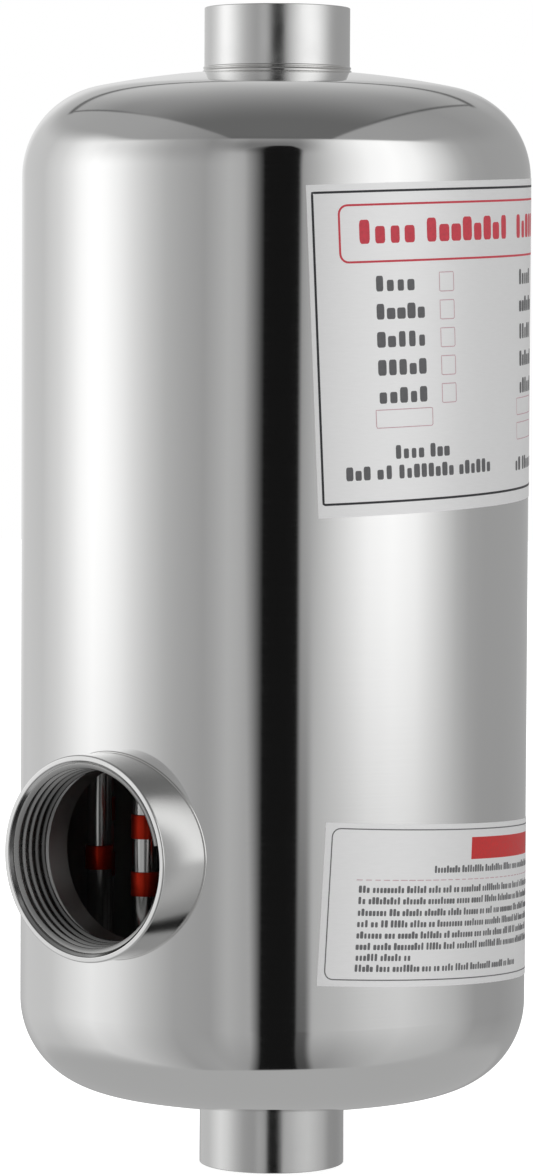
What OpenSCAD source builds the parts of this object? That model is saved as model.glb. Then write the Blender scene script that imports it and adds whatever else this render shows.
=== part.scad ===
// Shell-and-tube pool heater: a polished steel vessel with a bundle of straight
// tubes, a threaded socket at each end and two larger ones on opposite sides.
// Millimetres, +Z up, origin at the centre of the bottom socket's end face.

/* [Shell] */
// Outside diameter of the barrel
shell_d = 139.7; // [125:0.1:170]
// Wall of the barrel and of both heads
shell_wall = 1.5; // [1:0.1:3]
// Barrel length between the two heads
barrel_l = 226; // [190:1:420]

/* [Heads] */
// Outside radius of the dished crown
crown_r = 250; // [190:1:300]
// Outside radius of the knuckle where the head turns into the barrel
knuckle_r = 25; // [15:1:30]

/* [End sockets] */
// Outside diameter of the top and bottom sockets
end_socket_d = 40; // [38:0.5:48]
// Bore of the end sockets, at the crests of a 1 inch pipe thread
end_bore_d = 30.3; // [24:0.1:32]
// Length of an end socket
end_socket_l = 24; // [21:0.5:40]
// How far an end socket stands out of its head
end_socket_out = 17; // [12:0.5:18]
// Diameter of the bevel at the mouth of an end socket
end_mouth_d = 34.6; // [33:0.1:36]

/* [Side sockets] */
// Outside diameter of the two side sockets
side_socket_d = 55; // [52:0.5:60]
// Bore of the side sockets, at the crests of a 1 1/2 inch pipe thread
side_bore_d = 44.84; // [40:0.01:46]
// Length of a side socket
side_socket_l = 22; // [19:0.5:23]
// How far a side socket stands out of the barrel
side_socket_out = 11.65; // [8:0.05:13]
// Height of each side socket's centre from the nearer end of the barrel
side_socket_up = 44.7; // [42:0.1:60]
// Diameter of the bevel at the mouth of a side socket
side_mouth_d = 51.8; // [48:0.1:53]

/* [Tubes] */
// Outside diameter of a tube
tube_d = 6.8; // [4:0.1:11]
// Wall of a tube
tube_wall = 0.5; // [0.4:0.1:1.5]
// Radius of the inner ring of tube centres
inner_ring_r = 24.5; // [18:0.5:28]
// Radius of the outer ring of tube centres
outer_ring_r = 49.5; // [42:0.5:52]
// Turn of the tube bundle about its axis
bundle_turn = -6.2; // [-15:0.1:15]
// How far a tube stands out of each tube sheet
tube_out = 1.5; // [0:0.1:4]

/* [Tube sheets] */
// Thickness of a tube sheet
sheet_t = 6; // [3:0.5:8]
// Distance from the end of the barrel to the outer face of a tube sheet
sheet_in = 3; // [0:0.5:4]

/* [Spacer bands] */
// Height of one band on a tube
band_h = 6.5; // [4:0.5:9]
// Wall of a band
band_wall = 0.4; // [0.3:0.1:1.5]
// Distance between the centres of two bands on one tube
band_pitch = 15.5; // [13:0.1:20]
// Height of a pair's middle above the port's centre
pair_rise = -1.9; // [-4:0.1:4]
// Height of a single band's middle above the port's centre
single_rise = -4.9; // [-8:0.1:8]

/* [Labels] */
// Width of the main label, measured straight across
main_label_w = 97.6; // [60:0.1:110]
// Height of the main label
main_label_h = 87; // [40:1:88]
// Height of the main label's centre below the top end of the barrel
main_label_down = 44.8; // [44:0.1:60]
// Tilt of the main label
main_label_tilt = 2.5; // [-5:0.1:5]
// Width of the notice label, measured straight across
notice_label_w = 92.8; // [60:0.1:110]
// Height of the notice label
notice_label_h = 43.2; // [20:0.1:50]
// Height of the notice label's centre above the lower end of the barrel
notice_label_up = 31; // [28:0.5:60]
// Tilt of the notice label
notice_label_tilt = -3; // [-5:0.1:5]
// Thickness of a label
label_t = 0.2; // [0.1:0.05:0.5]

/* [Welds and fits] */
// How far a weld bead reaches from the corner it fills
weld = 1.2; // [0.5:0.1:2.5]
// Clearance round a socket in its hole in the shell
socket_fit = 0.05; // [0:0.01:0.2]
// Clearance round a tube in its hole in a tube sheet, and inside a band
tube_fit = 0.05; // [0.02:0.01:0.2]
// Clearance round a tube sheet in the barrel
sheet_fit = 0.05; // [0.02:0.01:0.3]

/* [Hidden] */
$fn = 96;

INNER_TUBES = 6;
OUTER_TUBES = 12;
CENTRE_NODES = ["centre_tube"];
INNER_NODES = [for (i = [1 : INNER_TUBES]) str("inner_tube_", i)];
OUTER_NODES = [for (i = [1 : OUTER_TUBES]) str("outer_tube_", i)];

steel = "silver";
polished = "gainsboro";
shell_r = shell_d / 2;

// The crown and the knuckle meet where one line runs through both of their centres
knuckle_centre_r = shell_r - knuckle_r;
meet_angle = asin(knuckle_centre_r / (crown_r - knuckle_r));
crown_centre_z = -(crown_r - knuckle_r) * cos(meet_angle);
head_h = crown_r + crown_centre_z;

// Heights of the vessel's parts, from the bottom socket's end face up
barrel_z = end_socket_out + head_h;
barrel_top_z = barrel_z + barrel_l;
overall_h = barrel_top_z + head_h + end_socket_out;
lower_port_z = barrel_z + side_socket_up;
upper_port_z = barrel_top_z - side_socket_up;
lower_sheet_z = barrel_z + sheet_in;
upper_sheet_z = barrel_top_z - sheet_in - sheet_t;
side_face = shell_r + side_socket_out;
tube_l = upper_sheet_z + sheet_t - lower_sheet_z + 2 * tube_out;

// Margin by which a cutting shape runs past what it cuts
past = 1;
// Steps round the crown's large circle, so that its chords lie on the true arc
crown_steps = 720;

// Centres of the tubes of one ring
function ring(count, r) =
    [for (i = [0 : count - 1]) let (a = bundle_turn - 90 + i * 360 / count) [r * cos(a), r * sin(a)]];
inner_centres = ring(INNER_TUBES, inner_ring_r);
outer_centres = ring(OUTER_TUBES, outer_ring_r);
tube_centres = concat([[0, 0]], inner_centres, outer_centres);

// Half outline of a dished head, its surface moved in by a depth
module head_outline(depth) {
    meet_r = (crown_r - depth) * sin(meet_angle);
    intersection() {
        translate([0, crown_centre_z])
            circle(crown_r - depth, $fn = crown_steps);
        square([meet_r, head_h]);
    }
    intersection() {
        translate([knuckle_centre_r, 0])
            circle(knuckle_r - depth);
        translate([knuckle_centre_r, 0])
            square([knuckle_r, head_h]);
    }
}

// A head, open edge at z = 0 and crown up, with the hole for its socket
module head() {
    color(polished)
    difference() {
        rotate_extrude()
            difference() {
                head_outline(0);
                head_outline(shell_wall);
            }
        cylinder(d = end_socket_d + 2 * socket_fit, h = head_h + past);
    }
}

// A threaded socket standing on its inner end, with the bevel at its mouth
module socket(outside_d, bore_d, mouth_d, length) {
    bevel = (mouth_d - bore_d) / 2;
    difference() {
        cylinder(d = outside_d, h = length);
        translate([0, 0, -past])
            cylinder(d = bore_d, h = length + 2 * past);
        translate([0, 0, length - bevel])
            cylinder(d1 = bore_d, d2 = mouth_d + 2 * past, h = bevel + past);
    }
}

// An end socket in its place on a head
module end_socket() {
    color(steel)
    translate([0, 0, head_h + end_socket_out - end_socket_l])
        socket(end_socket_d, end_bore_d, end_mouth_d, end_socket_l);
}

// The bead between an end socket and the crown of its head
module end_weld() {
    corner_r = end_socket_d / 2;
    corner_z = crown_centre_z + sqrt(pow(crown_r, 2) - pow(corner_r, 2));
    slope = asin(corner_r / crown_r);
    reach = 2 * weld;
    color(steel)
    rotate_extrude()
        translate([corner_r, corner_z])
            intersection() {
                circle(weld);
                polygon([[0, 0], [reach, -reach * tan(slope)], [reach, reach], [0, reach]]);
            }
}

// Places a child that stands on a head, at the top or at the bottom of the vessel
module at_top() {
    translate([0, 0, barrel_top_z])
        children();
}

module at_bottom() {
    translate([0, 0, barrel_z])
        mirror([0, 0, 1])
            children();
}

// Turns a child that points up so that it points out of a side port
module at_lower_port() {
    translate([0, 0, lower_port_z])
        rotate([90, 0, 0])
            children();
}

module at_upper_port() {
    translate([0, 0, upper_port_z])
        rotate([-90, 0, 0])
            children();
}

module side_socket() {
    color(steel)
    translate([0, 0, side_face - side_socket_l])
        socket(side_socket_d, side_bore_d, side_mouth_d, side_socket_l);
}

// The bead round a side socket, where it leaves the barrel
module side_weld() {
    color(steel)
    difference() {
        intersection() {
            cylinder(d = side_socket_d + 2 * weld, h = side_face);
            rotate([90, 0, 0])
                cylinder(r = shell_r + weld, h = 2 * side_socket_d, center = true);
        }
        cylinder(d = side_socket_d, h = side_face + past);
        rotate([90, 0, 0])
            cylinder(r = shell_r, h = 3 * side_socket_d, center = true);
    }
}

module barrel() {
    color(polished)
    difference() {
        translate([0, 0, barrel_z])
            cylinder(r = shell_r, h = barrel_l);
        translate([0, 0, barrel_z - past])
            cylinder(r = shell_r - shell_wall, h = barrel_l + 2 * past);
        at_lower_port()
            cylinder(d = side_socket_d + 2 * socket_fit, h = shell_r + past);
        at_upper_port()
            cylinder(d = side_socket_d + 2 * socket_fit, h = shell_r + past);
    }
}

module top_head() {
    at_top() head();
}

module bottom_head() {
    at_bottom() head();
}

module top_socket() {
    at_top() end_socket();
}

module bottom_socket() {
    at_bottom() end_socket();
}

module top_socket_weld() {
    at_top() end_weld();
}

module bottom_socket_weld() {
    at_bottom() end_weld();
}

module lower_side_socket() {
    at_lower_port() side_socket();
}

module upper_side_socket() {
    at_upper_port() side_socket();
}

module lower_side_weld() {
    at_lower_port() side_weld();
}

module upper_side_weld() {
    at_upper_port() side_weld();
}

// A tube sheet with a hole for every tube
module tube_sheet(z) {
    color(steel)
    difference() {
        translate([0, 0, z])
            cylinder(r = shell_r - shell_wall - sheet_fit, h = sheet_t);
        for (c = tube_centres)
            translate([c.x, c.y, z - past])
                cylinder(d = tube_d + 2 * tube_fit, h = sheet_t + 2 * past);
    }
}

module upper_tube_sheet() {
    tube_sheet(upper_sheet_z);
}

module lower_tube_sheet() {
    tube_sheet(lower_sheet_z);
}

// A tube through both sheets
module tube(centre) {
    color("lightsteelblue")
    translate([centre.x, centre.y, lower_sheet_z - tube_out])
        difference() {
            cylinder(d = tube_d, h = tube_l);
            translate([0, 0, -past])
                cylinder(d = tube_d - 2 * tube_wall, h = tube_l + 2 * past);
        }
}

// Heights of the bands on an outer tube: a pair on one tube, a single on the next
function band_heights(i) =
    i % 2 == 0 ? [pair_rise - band_pitch / 2, pair_rise + band_pitch / 2] : [single_rise];

// The bands seen through a side port, on every tube of the outer ring
module spacer_bands(port_z) {
    color("firebrick")
    for (i = [0 : OUTER_TUBES - 1])
        for (h = band_heights(i))
            translate([outer_centres[i].x, outer_centres[i].y, port_z + h])
                difference() {
                    cylinder(d = tube_d + 2 * tube_fit + 2 * band_wall, h = band_h, center = true);
                    cylinder(d = tube_d + 2 * tube_fit, h = band_h + past, center = true);
                }
}

module lower_spacer_bands() {
    spacer_bands(lower_port_z);
}

module upper_spacer_bands() {
    spacer_bands(upper_port_z);
}

// A label lying on the +X side of the barrel
module label(z, width, height, tilt) {
    color("whitesmoke")
    intersection() {
        translate([0, 0, z])
            rotate([tilt, 0, 0])
                translate([0, -width / 2, -height / 2])
                    cube([shell_r + past, width, height]);
        difference() {
            translate([0, 0, barrel_z])
                cylinder(r = shell_r + label_t, h = barrel_l);
            translate([0, 0, barrel_z - past])
                cylinder(r = shell_r, h = barrel_l + 2 * past);
        }
    }
}

module main_label() {
    label(barrel_top_z - main_label_down, main_label_w, main_label_h, main_label_tilt);
}

module notice_label() {
    label(barrel_z + notice_label_up, notice_label_w, notice_label_h, notice_label_tilt);
}

barrel();
top_head();
bottom_head();
top_socket();
bottom_socket();
lower_side_socket();
upper_side_socket();
top_socket_weld();
bottom_socket_weld();
lower_side_weld();
upper_side_weld();
upper_tube_sheet();
lower_tube_sheet();
tube([0, 0]);  // centre_tube
for (i = [0 : INNER_TUBES - 1])
    tube(inner_centres[i]);
for (i = [0 : OUTER_TUBES - 1])
    tube(outer_centres[i]);
lower_spacer_bands();
upper_spacer_bands();
main_label();
notice_label();
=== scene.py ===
# Pool heater: a polished shell-and-tube vessel with its sockets, threads, tubes and labels.
import math
import random

import bpy
from mathutils import Matrix, Vector


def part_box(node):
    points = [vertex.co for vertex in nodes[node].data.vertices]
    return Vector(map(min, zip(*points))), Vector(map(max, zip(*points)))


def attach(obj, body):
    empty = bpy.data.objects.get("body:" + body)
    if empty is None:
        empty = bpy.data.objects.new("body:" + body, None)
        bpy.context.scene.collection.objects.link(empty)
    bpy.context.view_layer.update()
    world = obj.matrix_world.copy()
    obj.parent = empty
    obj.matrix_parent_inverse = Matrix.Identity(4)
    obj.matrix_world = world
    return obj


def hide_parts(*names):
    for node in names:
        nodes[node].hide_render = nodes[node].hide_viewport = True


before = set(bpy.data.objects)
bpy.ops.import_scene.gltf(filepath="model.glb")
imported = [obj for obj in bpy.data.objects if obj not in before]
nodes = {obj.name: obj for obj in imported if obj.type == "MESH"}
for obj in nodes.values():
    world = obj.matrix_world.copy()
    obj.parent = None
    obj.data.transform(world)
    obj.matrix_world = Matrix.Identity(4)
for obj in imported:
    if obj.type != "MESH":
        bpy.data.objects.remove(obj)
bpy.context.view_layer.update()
mm = 0.001
scene = bpy.context.scene

# places that the frame gives
barrelLow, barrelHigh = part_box("barrel")
shellRadius = barrelHigh.x
socketLow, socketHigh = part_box("lower_side_socket")
lowerPortHeight = (socketLow.z + socketHigh.z) / 2
portInnerEnd, portFace = -socketHigh.y, -socketLow.y
sideSocketRadius = (socketHigh.z - socketLow.z) / 2
upperPortHeight = sum(corner.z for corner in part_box("upper_side_socket")) / 2


# nodes and materials
def addNode(tree, kind, inputs=None, **settings):
    # an input is named or numbered, and takes a value or another node's output
    made = tree.nodes.new(kind)
    for name, value in settings.items():
        setattr(made, name, value)
    for name, value in (inputs or {}).items():
        if isinstance(value, bpy.types.NodeSocket):
            tree.links.new(value, made.inputs[name])
        else:
            made.inputs[name].default_value = value
    return made


def outOf(tree, kind, inputs=None, **settings):
    return addNode(tree, kind, inputs, **settings).outputs[0]


def calc(tree, operation, first, second=0.0):
    return outOf(tree, "ShaderNodeMath", {0: first, 1: second}, operation=operation)


def plus(tree, first, *rest):
    for value in rest:
        first = calc(tree, "ADD", first, value)
    return first


def times(tree, first, *rest):
    for value in rest:
        first = calc(tree, "MULTIPLY", first, value)
    return first


def minus(tree, first, second):
    return calc(tree, "SUBTRACT", first, second)


def divided(tree, first, second):
    return calc(tree, "DIVIDE", first, second)


def newMaterial(name, colour, roughness, metallic=1.0):
    material = bpy.data.materials.new(name)
    material.use_nodes = True
    shader = material.node_tree.nodes["Principled BSDF"]
    shader.inputs["Base Color"].default_value = (*colour, 1)
    shader.inputs["Roughness"].default_value = roughness
    shader.inputs["Metallic"].default_value = metallic
    return material, material.node_tree, shader


def placeOn(tree, centre=(0, 0, 0), scale=(1, 1, 1)):
    # Object coordinates measured from a centre, drawn out or squeezed along each axis
    where = addNode(tree, "ShaderNodeTexCoord").outputs["Object"]
    shift = [-c * s for c, s in zip(centre, scale)]
    return outOf(tree, "ShaderNodeMapping", {0: where, "Location": shift, "Scale": scale})


def noiseOf(tree, where, scale, detail=2.0):
    return outOf(tree, "ShaderNodeTexNoise", {"Vector": where, "Scale": scale, "Detail": detail})


def spread(tree, value, low, high):
    # stretches the middle of a noise over low to high
    return outOf(tree, "ShaderNodeMapRange", {0: value, 1: 0.3, 2: 0.7, 3: low, 4: high})


def tintBy(tree, shader, value, dark, light):
    ramp = addNode(tree, "ShaderNodeValToRGB", {0: value})
    ramp.color_ramp.elements[0].position = 0.3
    ramp.color_ramp.elements[1].position = 0.7
    ramp.color_ramp.elements[0].color = (*dark, 1)
    ramp.color_ramp.elements[1].color = (*light, 1)
    tree.links.new(ramp.outputs[0], shader.inputs["Base Color"])


def roughenBy(tree, shader, value, low, high):
    tree.links.new(spread(tree, value, low, high), shader.inputs["Roughness"])


def bumpBy(tree, shader, height, distance, strength=1.0):
    bump = addNode(tree, "ShaderNodeBump", {"Height": height, "Strength": strength, "Distance": distance})
    tree.links.new(bump.outputs[0], shader.inputs["Normal"])


# meshes
def evenly(start, end, steps):
    return [start + (end - start) * k / steps for k in range(steps)]


def meshPiece(name, verts, faces, normals, slots, finishes):
    mesh = bpy.data.meshes.new(name)
    mesh.from_pydata(verts, [], faces)
    mesh.polygons.foreach_set("use_smooth", [True] * len(faces))
    for finish in finishes:
        mesh.materials.append(finish)
    mesh.polygons.foreach_set("material_index", slots)
    mesh.normals_split_custom_set(normals)
    piece = bpy.data.objects.new(name, mesh)
    scene.collection.objects.link(piece)
    return piece


def lineRun(start, end, slot=0):
    # a straight stretch of a turned outline: each point has its radius, height and normal
    across, up = end[0] - start[0], end[1] - start[1]
    length = math.hypot(across, up)
    normal = (up / length, -across / length)
    return slot, [(*start, *normal), (*end, *normal)]


def arcRun(centre, radius, fromAngle, toAngle, steps, slot=0):
    side = 1 if toAngle > fromAngle else -1
    points = []
    for k in range(steps + 1):
        angle = math.radians(fromAngle + (toAngle - fromAngle) * k / steps)
        c, s = math.cos(angle), math.sin(angle)
        points.append((centre[0] + radius * c, centre[1] + radius * s, side * c, side * s))
    return slot, points


def lathe(name, runs, segments, place, finishes):
    # turns a closed outline round Z with exact normals and puts it in its place
    verts, faces, normals, slots = [], [], [], []
    turn = place.to_3x3()
    spokes = [(math.cos(a), math.sin(a)) for a in evenly(0, 2 * math.pi, segments)]

    def addRing(point):
        verts.extend(place @ Vector((point[0] * c, point[0] * s, point[1])) for c, s in spokes)
        return len(verts) - segments

    def turned(point, i):
        c, s = spokes[i]
        return turn @ Vector((point[2] * c, point[2] * s, point[3]))

    below = firstRing = addRing(runs[0][1][0])
    for slot, points in runs:
        for k in range(1, len(points)):
            closing = points is runs[-1][1] and k == len(points) - 1
            above = firstRing if closing else addRing(points[k])
            for i in range(segments):
                j = (i + 1) % segments
                faces.append((below + i, below + j, above + j, above + i))
                normals += [turned(points[k - 1], i), turned(points[k - 1], j)]
                normals += [turned(points[k], j), turned(points[k], i)]
                slots.append(slot)
            below = above
    return meshPiece(name, verts, faces, normals, slots, finishes)


# Geometry Nodes
def newTree(name, sizes, onCarrier=False):
    # a tree that works on a carrier takes the object's own mesh first
    tree = bpy.data.node_groups.new(name, "GeometryNodeTree")
    tree.interface.new_socket("Geometry", in_out="OUTPUT", socket_type="NodeSocketGeometry")
    if onCarrier:
        tree.interface.new_socket("Carrier", in_out="INPUT", socket_type="NodeSocketGeometry")
    for label, value in sizes.items():
        kind = "NodeSocketInt" if isinstance(value, int) else "NodeSocketFloat"
        tree.interface.new_socket(label, in_out="INPUT", socket_type=kind)
    tree.interface.new_socket("Finish", in_out="INPUT", socket_type="NodeSocketMaterial")
    return tree, tree.nodes.new("NodeGroupInput").outputs


def vectorOf(tree, x=0.0, y=0.0, z=0.0):
    return outOf(tree, "ShaderNodeCombineXYZ", {0: x, 1: y, 2: z})


def shifted(tree, geometry, offset):
    return outOf(tree, "GeometryNodeTransform", {0: geometry, "Translation": offset})


def circlePath(tree, radius, steps):
    ring = outOf(tree, "GeometryNodeCurvePrimitiveCircle", {"Resolution": steps})
    return outOf(tree, "GeometryNodeTransform", {0: ring, "Scale": vectorOf(tree, radius, radius, radius)})


def rectangle(tree, width, height):
    return outOf(tree, "GeometryNodeCurvePrimitiveQuadrilateral", {"Width": width, "Height": height})


def roundCorners(tree, curve, radius, count=3):
    return outOf(tree, "GeometryNodeFilletCurve", {0: curve, "Count": count, "Radius": radius}, mode="POLY")


def sweep(tree, path, profile, closeEnds=False):
    upright = outOf(tree, "GeometryNodeSetCurveNormal", {0: path}, mode="Z_UP")
    return outOf(tree, "GeometryNodeCurveToMesh", {0: upright, 1: profile, "Fill Caps": closeEnds})


def endTree(tree, geometry, given, crispAngle=35):
    real = outOf(tree, "GeometryNodeRealizeInstances", {0: geometry})
    soft = outOf(tree, "GeometryNodeSetShadeSmooth", {0: real, "Shade Smooth": True})
    bend = outOf(tree, "GeometryNodeInputMeshEdgeAngle")
    crisp = calc(tree, "GREATER_THAN", bend, math.radians(crispAngle))
    settings = {0: soft, "Selection": crisp, "Shade Smooth": False}
    edged = outOf(tree, "GeometryNodeSetShadeSmooth", settings, domain="EDGE")
    coated = outOf(tree, "GeometryNodeSetMaterial", {0: edged, "Material": given["Finish"]})
    addNode(tree, "NodeGroupOutput", {0: coated})
    return tree


def growPiece(name, tree, sizes, finish, place=None, base=None):
    # runs a tree on a new object and keeps the result as its plain mesh
    piece = bpy.data.objects.new(name, base or bpy.data.meshes.new(name))
    scene.collection.objects.link(piece)
    modifier = piece.modifiers.new("grow", "NODES")
    modifier.node_group = tree
    for item in tree.interface.items_tree:
        if item.in_out == "INPUT" and item.socket_type != "NodeSocketGeometry":
            modifier[item.identifier] = finish if item.name == "Finish" else sizes[item.name]
    grown = bpy.data.meshes.new_from_object(piece.evaluated_get(bpy.context.evaluated_depsgraph_get()))
    piece.modifiers.clear()
    piece.data = grown
    if place:
        grown.transform(place)
    return piece


def fit(piece, slotName, *nodeNames):
    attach(piece, "root")
    if nodeNames:
        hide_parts(*nodeNames)
    return piece


# finishes
def makePolished():
    material, tree, shader = newMaterial("polishedSteel", (0.83, 0.83, 0.825), 0.06)
    # the buffing marks run round the vessel
    marks = noiseOf(tree, placeOn(tree, scale=(40, 40, 1600)), 1.0, 3.0)
    roughenBy(tree, shader, marks, 0.045, 0.075)
    bumpBy(tree, shader, marks, 0.0000015)
    return material


def makeInsideWall():
    material, tree, shader = newMaterial("insideWall", (0.72, 0.72, 0.72), 0.5)
    stain = noiseOf(tree, placeOn(tree), 60, 4.0)
    tintBy(tree, shader, stain, (0.66, 0.66, 0.66), (0.76, 0.76, 0.755))
    roughenBy(tree, shader, stain, 0.42, 0.58)
    return material


def makeTurned(name, colour, roughness, centre, axis, shadeDepths=None):
    # fine rings from the lathe, which run round the socket's own axis; a bore may get painted shade, its
    # colour darkening with depth
    material, tree, shader = newMaterial(name, colour, roughness)
    split = addNode(tree, "ShaderNodeSeparateXYZ", {0: placeOn(tree, centre)}).outputs
    along = split["XYZ".index(axis)]
    flat = [split[i] for i in range(3) if "XYZ"[i] != axis]
    squares = [times(tree, side, side) for side in flat]
    radius = calc(tree, "SQRT", plus(tree, *squares))
    rings = noiseOf(tree, vectorOf(tree, radius, along), 4000, 2.0)
    cloud = noiseOf(tree, placeOn(tree), 120, 3.0)
    roughenBy(tree, shader, cloud, roughness * 0.85, roughness * 1.2)
    bumpBy(tree, shader, rings, 0.000004)
    # painted shade: the colour darkens to under half towards the bore's deep end
    if shadeDepths:
        deep = calc(tree, "ABSOLUTE", along)
        share = outOf(tree, "ShaderNodeMapRange", {0: deep, 1: shadeDepths[0], 2: shadeDepths[1]})
        tintBy(tree, shader, share, [c * 0.45 for c in colour], colour)
    return material


def makeTube():
    material, tree, shader = newMaterial("drawnTube", (0.75, 0.75, 0.74), 0.2)
    # the drawing lines run along the tube
    streaks = noiseOf(tree, placeOn(tree, scale=(900, 900, 12)), 1.0, 2.0)
    tintBy(tree, shader, streaks, (0.70, 0.70, 0.69), (0.78, 0.78, 0.77))
    roughenBy(tree, shader, streaks, 0.17, 0.24)
    bumpBy(tree, shader, streaks, 0.000002)
    return material


def makeRed():
    material, tree, shader = newMaterial("redSleeve", (0.5, 0.025, 0.01), 0.36, 0.9)
    shader.inputs["Specular IOR Level"].default_value = 0.25
    mottle = noiseOf(tree, placeOn(tree), 400, 3.0)
    tintBy(tree, shader, mottle, (0.46, 0.022, 0.008), (0.54, 0.03, 0.012))
    roughenBy(tree, shader, mottle, 0.33, 0.43)
    return material


def makeWeld(name, level):
    material, tree, shader = newMaterial(name, (level, level, level), 0.13)
    grain = noiseOf(tree, placeOn(tree), 1200, 2.0)
    patches = noiseOf(tree, placeOn(tree), 90, 2.0)
    dark, light = [level * c for c in (0.95, 0.94, 0.92)], [level * c for c in (1.03, 1.03, 1.02)]
    tintBy(tree, shader, patches, dark, light)
    roughenBy(tree, shader, grain, 0.1, 0.17)
    bumpBy(tree, shader, grain, 0.000002)
    return material


def makeFilm():
    material, tree, shader = newMaterial("labelFilm", (0.88, 0.88, 0.88), 0.32, 0.3)
    grain = noiseOf(tree, placeOn(tree, scale=(300, 300, 2400)), 1.0, 2.0)
    tintBy(tree, shader, grain, (0.87, 0.87, 0.87), (0.89, 0.89, 0.89))
    roughenBy(tree, shader, grain, 0.28, 0.36)
    return material


def makeInk(name, colour):
    material, tree, shader = newMaterial(name, colour, 0.5, 0.0)
    wear = noiseOf(tree, placeOn(tree), 1200, 3.0)
    tintBy(tree, shader, wear, [c * 0.9 for c in colour], [min(1, c * 1.1) for c in colour])
    roughenBy(tree, shader, wear, 0.42, 0.56)
    return material


lowerPortCentre = (0, 0, lowerPortHeight)
upperPortCentre = (0, 0, upperPortHeight)
polished = makePolished()
insideWall = makeInsideWall()
socketGrey = (0.74, 0.74, 0.735)
endTurned = makeTurned("turnedEnd", socketGrey, 0.15, (0, 0, 0), "Z")
# painted highlight: the top socket is a lighter grey than the other sockets, to brighten its highlights
topTurned = makeTurned("turnedTop", (0.8, 0.8, 0.795), 0.21, (0, 0, 0), "Z")
# painted shade: the end sockets' thread and neck get a darker grey than their outside, for the shade in
# their bores
endThread = makeTurned("threadEnd", (0.55, 0.55, 0.545), 0.16, (0, 0, 0), "Z")
# painted shade in the side bores: the thread's colour darkens inwards over this span
threadShadeDepths = (portInnerEnd + 9 * mm, portFace)  # from dark inside to full grey at the mouth


def sideFinishes(side, centre):
    # the outside, the thread and the neck of a side socket
    return (
        makeTurned("turned" + side, socketGrey, 0.16, centre, "Y"),
        # painted shade: the thread is a darker grey than the socket's outside, for the shade in the bore
        makeTurned("thread" + side, (0.43, 0.43, 0.425), 0.27, centre, "Y", threadShadeDepths),
        makeTurned("neck" + side, (0.72, 0.72, 0.715), 0.4, centre, "Y"),
    )


lowerFinishes = sideFinishes("Lower", lowerPortCentre)
upperFinishes = sideFinishes("Upper", upperPortCentre)
tubeSteel = makeTube()
sleeveRed = makeRed()
weldSteel = makeWeld("weldBead", 0.78)
# painted shadow: the bottom socket's weld bead is dark grey, for the shadow line under the bottom head
shadowLineWeld = makeWeld("shadowLineWeldBead", 0.3)
film = makeFilm()
blackInk = makeInk("blackInk", (0.025, 0.025, 0.03))
darkInk = makeInk("darkInk", (0.12, 0.12, 0.125))
greyInk = makeInk("greyInk", (0.14, 0.14, 0.145))
redInk = makeInk("redInk", (0.62, 0.045, 0.07))
deepRedInk = makeInk("deepRedInk", (0.58, 0.02, 0.02))
pinkInk = makeInk("pinkInk", (0.58, 0.36, 0.41))
print("finishes made")

# barrel: a grid round the cylinder, with a patch round each port's hole
# the holes here and in the heads are 0.05 mm wider in radius than their sockets
shellWall = 1.5 * mm
barrelSize = {
    "wall": shellWall, "holeRadius": 27.55 * mm, "patchHalf": 34 * mm, "patchSteps": 28, "patchRings": 4,
    "sideSteps": 72, "bandSteps": 4,
}


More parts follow.
